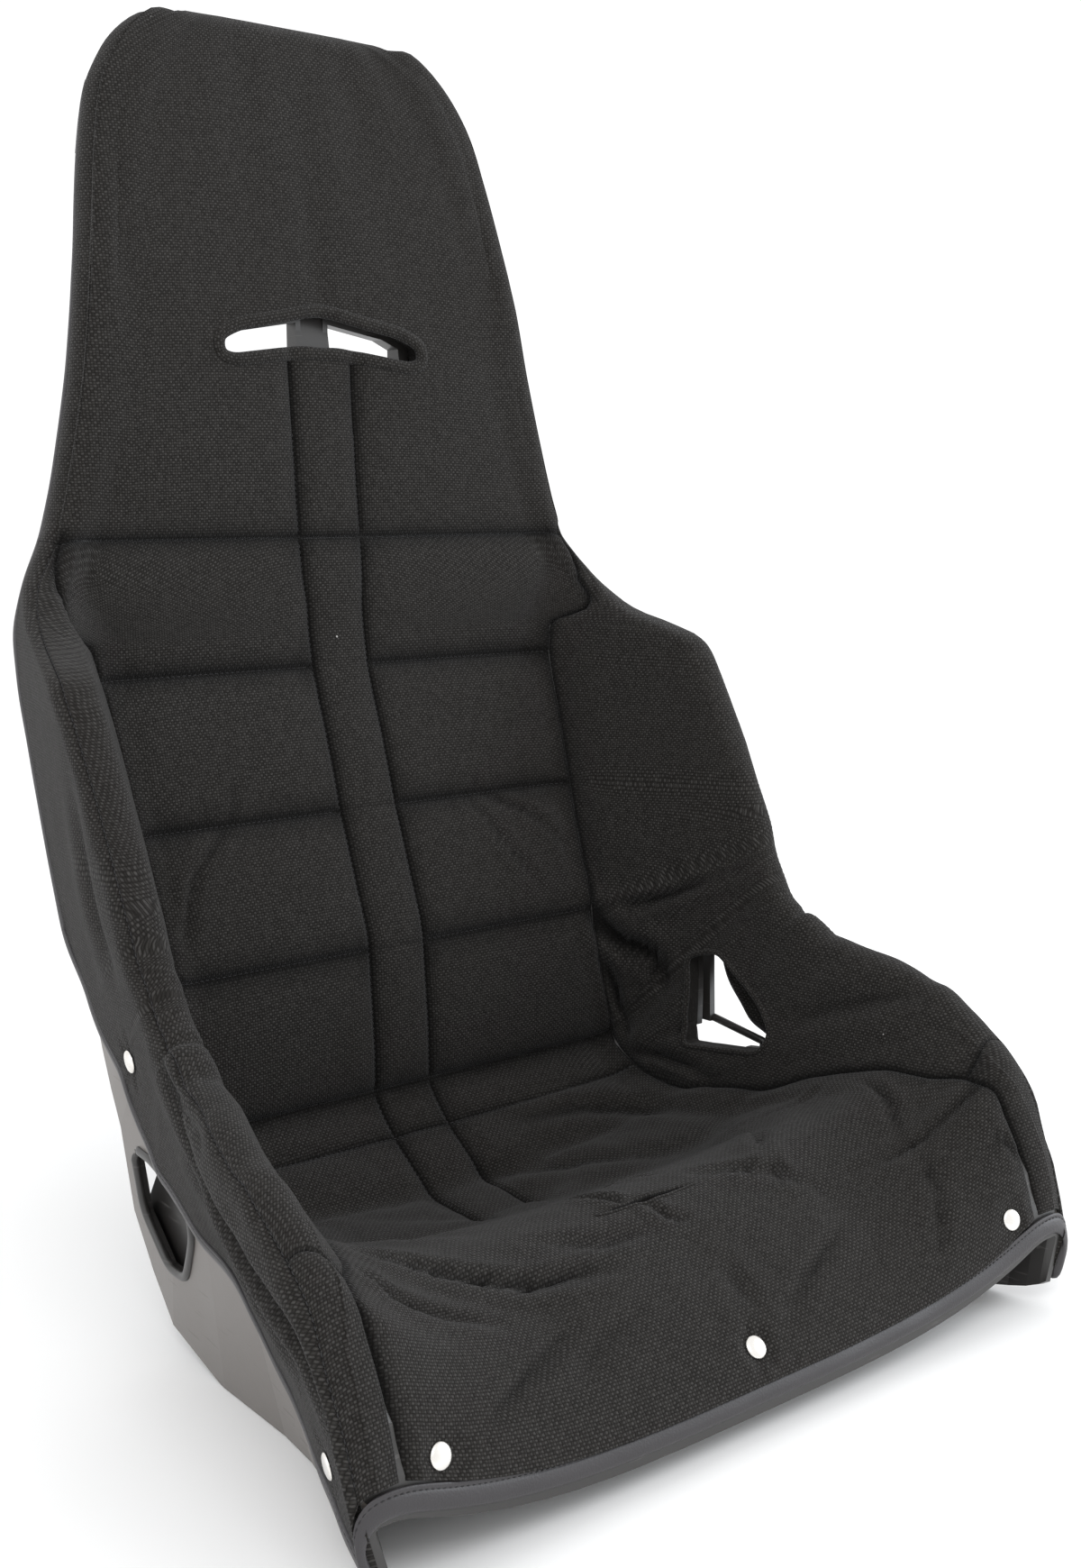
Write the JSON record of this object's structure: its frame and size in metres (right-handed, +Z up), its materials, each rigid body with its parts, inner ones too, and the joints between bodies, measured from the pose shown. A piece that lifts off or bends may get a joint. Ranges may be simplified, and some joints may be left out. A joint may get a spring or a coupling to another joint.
{
  "type": "racing bucket seat",
  "caption": "Moulded one-piece racing bucket seat with a padded fabric cover on snap fasteners, harness slots, lap-belt openings and a crotch-strap slit.",
  "frame": {"origin": "centre of the four base bolt holes, on the plane of the base", "axes": "+Z up, the seat faces -Y, +X to the right as seen from the front"},
  "size_m": [0.5514, 0.512, 0.8363],
  "materials": {
    "shell_plastic": "satin moulded polyethylene",
    "fabric": "coarse black basket-weave tweed",
    "binding": "black vinyl edge binding, semi-gloss",
    "foam": "open-cell foam",
    "snap_metal": "nickel-plated snap cap",
    "snap_inner": "plated steel"
  },
  "bodies": {
    "root": {"binding_front": "binding", "binding_head_left": "binding", "binding_head_right": "binding", "binding_rear_left": "binding", "binding_rear_right": "binding", "binding_skirt_left": "binding", "binding_skirt_right": "binding", "cover_back_panel": "fabric", "cover_bolster_inner_left": "fabric", "cover_bolster_inner_right": "fabric", "cover_bolster_outer_left": "fabric", "cover_bolster_outer_right": "fabric", "cover_corner_strip_left": "fabric", "cover_corner_strip_right": "fabric", "cover_head_panel": "fabric", "cover_seat_panel": "fabric", "foam_back": "foam", "foam_bolster_inner_left": "foam", "foam_bolster_inner_right": "foam", "foam_bolster_outer_left": "foam", "foam_bolster_outer_right": "foam", "foam_head": "foam", "foam_seat": "foam", "hood_back": "fabric", "hood_top": "fabric", "shell": "shell_plastic", "snap_caps": "snap_metal", "snap_sockets": "snap_inner", "snap_studs": "snap_inner"}
  },
  "joints": []
}
